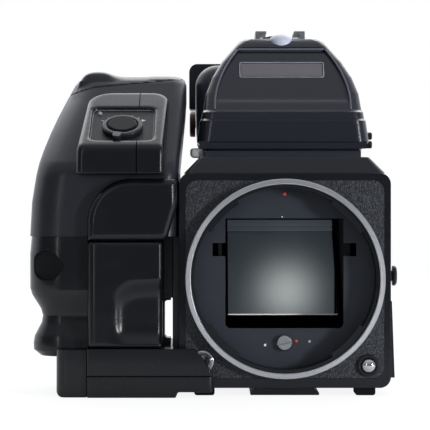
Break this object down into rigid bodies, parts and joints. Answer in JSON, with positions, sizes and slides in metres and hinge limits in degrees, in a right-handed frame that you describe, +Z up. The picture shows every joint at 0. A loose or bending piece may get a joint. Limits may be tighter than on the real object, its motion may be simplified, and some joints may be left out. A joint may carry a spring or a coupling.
{
  "type": "medium format film camera",
  "caption": "Medium format single-lens reflex body with swinging mirror, open lens mount, metering prism finder, winder grip and film magazine.",
  "frame": {"origin": "centre of the tripod thread at the base plane", "axes": "+Z up, -Y the way the lens looks, +X to the right as seen from the front"},
  "size_m": [0.1631, 0.1285, 0.1658],
  "materials": {
    "black_paint": "satin black paint on cast aluminium",
    "covering": "grained black covering",
    "chrome": "satin and polished chrome",
    "black_metal": "matt black on metal",
    "mirror_silver": "front-silvered glass",
    "ground_glass": "ground glass",
    "steel": "turned steel",
    "finder_shell": "satin black housing",
    "finder_grey": "grey side housing",
    "optical_glass": "polished optical glass",
    "display_pane": "grey window",
    "opal": "opal diffuser",
    "eyepiece_black": "black anodised",
    "rubber": "black rubber",
    "dial_brown": "red-brown dial",
    "grip_plastic": "moulded black plastic",
    "dial_face": "matt dial plate",
    "cell": "wrapped cells",
    "strap": "black strap",
    "magazine_skin": "black magazine",
    "magazine_inside": "black inner parts",
    "crank_metal": "satin aluminium"
  },
  "bodies": {
    "camera": {"body_shell": "black_paint", "front_covering": "covering", "side_covering": "covering", "mount_ring": "chrome", "bayonet_ring": "black_metal", "throat_plate": "black_metal", "mirror_box": "black_metal", "screen_frame": "black_metal", "focusing_screen": "ground_glass", "button_collars": "chrome", "top_cover": "black_paint", "tripod_plate": "black_metal", "body_feet": "rubber", "strap_stud": "chrome", "accessory_rail": "black_metal"},
    "mirror": {"mirror_frame": "black_metal", "mirror_glass": "mirror_silver"},
    "upper_flap": {"light_flap_upper": "black_metal"},
    "lower_flap": {"light_flap_lower": "black_metal"},
    "lens_drive": {"drive_shaft": "steel"},
    "wind_shaft_body": {"wind_shaft": "steel"},
    "shutter_release": {"release_button": "chrome"},
    "lens_release": {"lens_release_button": "chrome"},
    "finder": {"prism_housing": "finder_shell", "meter_housing": "finder_grey", "control_frame": "finder_shell", "finder_base": "black_paint", "finder_prism": "optical_glass", "display_window": "display_pane", "incident_dome": "opal", "accessory_shoe": "steel", "eyepiece_tube": "eyepiece_black", "eyepiece_lens": "optical_glass", "eyecup": "rubber", "finder_lug": "chrome"},
    "meter_dial_body": {"meter_dial": "dial_brown"},
    "upper_button": {"upper_side_button": "eyepiece_black"},
    "lower_button": {"lower_side_button": "eyepiece_black"},
    "winder": {"grip_housing": "grip_plastic", "grip_cap": "grip_plastic", "palm_panel": "grip_plastic", "grip_column": "grip_plastic", "grip_shell": "grip_plastic", "web_plate": "grip_plastic", "base_arm": "grip_plastic", "dial_hood": "grip_plastic", "dial_plate": "dial_face", "motor": "steel", "hand_strap": "strap"},
    "mode_ring_body": {"mode_ring": "grip_plastic"},
    "winder_release": {"winder_button": "grip_plastic"},
    "pinion": {"motor_pinion": "steel"},
    "drive": {"drive_gear": "steel"},
    "battery": {"battery_cassette": "grip_plastic", "battery_cells": "cell"},
    "magazine": {"magazine_shell": "magazine_skin", "film_insert": "magazine_inside"},
    "crank": {"film_crank": "crank_metal"},
    "takeup": {"takeup_spool": "magazine_inside"},
    "feed": {"feed_spool": "magazine_inside"}
  },
  "joints": [
    {"name": "mirror_swing", "type": "hinge", "parent": "camera", "child": "mirror", "pos_m": [0, 0.0289, 0.074], "axis": [-1, 0, 0], "range_deg": [0, 51]},
    {"name": "upper_flap_swing", "type": "hinge", "parent": "camera", "child": "upper_flap", "pos_m": [0, 0.0299, 0.0709], "axis": [-1, 0, 0], "range_deg": [0, 90]},
    {"name": "lower_flap_swing", "type": "hinge", "parent": "camera", "child": "lower_flap", "pos_m": [0, 0.0299, 0.0243], "axis": [1, 0, 0], "range_deg": [0, 90]},
    {"name": "lens_drive_turn", "type": "hinge", "parent": "camera", "child": "lens_drive", "pos_m": [0, -0.03, 0.0226], "axis": [0, -1, 0], "range_deg": [0, 320]},
    {"name": "wind_shaft_turn", "type": "hinge", "parent": "camera", "child": "wind_shaft_body", "pos_m": [-0.036, -0.006, 0.08664], "axis": [1, 0, 0], "continuous": true},
    {"name": "shutter_release_press", "type": "slide", "parent": "camera", "child": "shutter_release", "axis": [0, 1, 0], "range_m": [0, 0.0022], "stiffness_N_per_m": 400, "springref_m": -0.0012},
    {"name": "lens_release_press", "type": "slide", "parent": "camera", "child": "lens_release", "axis": [0, 1, 0], "range_m": [0, 0.0024], "stiffness_N_per_m": 500, "springref_m": -0.0012},
    {"name": "finder_slide", "type": "slide", "parent": "camera", "child": "finder", "axis": [0, 1, 0], "range_m": [0, 0.07]},
    {"name": "meter_dial_turn", "type": "hinge", "parent": "finder", "child": "meter_dial_body", "pos_m": [-0.04, 0.03, 0.1212], "axis": [-1, 0, 0], "range_deg": [0, 300]},
    {"name": "upper_side_button_press", "type": "slide", "parent": "finder", "child": "upper_button", "axis": [-1, 0, 0], "range_m": [0, 0.001], "stiffness_N_per_m": 300, "springref_m": -0.001},
    {"name": "lower_side_button_press", "type": "slide", "parent": "finder", "child": "lower_button", "axis": [-1, 0, 0], "range_m": [0, 0.001], "stiffness_N_per_m": 300, "springref_m": -0.001},
    {"name": "winder_slide", "type": "slide", "parent": "camera", "child": "winder", "axis": [-1, 0, 0], "range_m": [0, 0.06]},
    {"name": "mode_ring_turn", "type": "hinge", "parent": "winder", "child": "mode_ring_body", "pos_m": [-0.0707, -0.0336, 0.11731], "axis": [0, -0.5299, 0.848], "range_deg": [-30, 130]},
    {"name": "winder_button_press", "type": "slide", "parent": "winder", "child": "winder_release", "axis": [0, 0.5299, -0.848], "range_m": [0, 0.0016], "stiffness_N_per_m": 400, "springref_m": -0.0012},
    {"name": "motor_turn", "type": "hinge", "parent": "winder", "child": "pinion", "pos_m": [-0.06, -0.006, 0.106], "axis": [1, 0, 0], "continuous": true},
    {"name": "drive_turn", "type": "hinge", "parent": "winder", "child": "drive", "pos_m": [-0.06, -0.006, 0.08664], "axis": [1, 0, 0], "continuous": true},
    {"name": "cassette_slide", "type": "slide", "parent": "winder", "child": "battery", "axis": [0, 0, -1], "range_m": [0, 0.07]},
    {"name": "magazine_slide", "type": "slide", "parent": "camera", "child": "magazine", "axis": [0, 1, 0], "range_m": [0, 0.06]},
    {"name": "crank_turn", "type": "hinge", "parent": "magazine", "child": "crank", "pos_m": [-0.046, 0.058, 0.074], "axis": [-1, 0, 0], "continuous": true},
    {"name": "takeup_turn", "type": "hinge", "parent": "magazine", "child": "takeup", "pos_m": [0, 0.058, 0.074], "axis": [-1, 0, 0], "continuous": true},
    {"name": "feed_turn", "type": "hinge", "parent": "magazine", "child": "feed", "pos_m": [0, 0.058, 0.029], "axis": [-1, 0, 0], "continuous": true}
  ],
  "couplings": [
    {"joint": "upper_flap_swing", "follows": "mirror_swing", "ratio": 1.7647},
    {"joint": "lower_flap_swing", "follows": "mirror_swing", "ratio": 1.7647},
    {"joint": "motor_turn", "follows": "drive_turn", "ratio": -3},
    {"joint": "wind_shaft_turn", "follows": "drive_turn", "ratio": 1},
    {"joint": "takeup_turn", "follows": "crank_turn", "ratio": 1},
    {"joint": "feed_turn", "follows": "crank_turn", "ratio": 1}
  ]
}
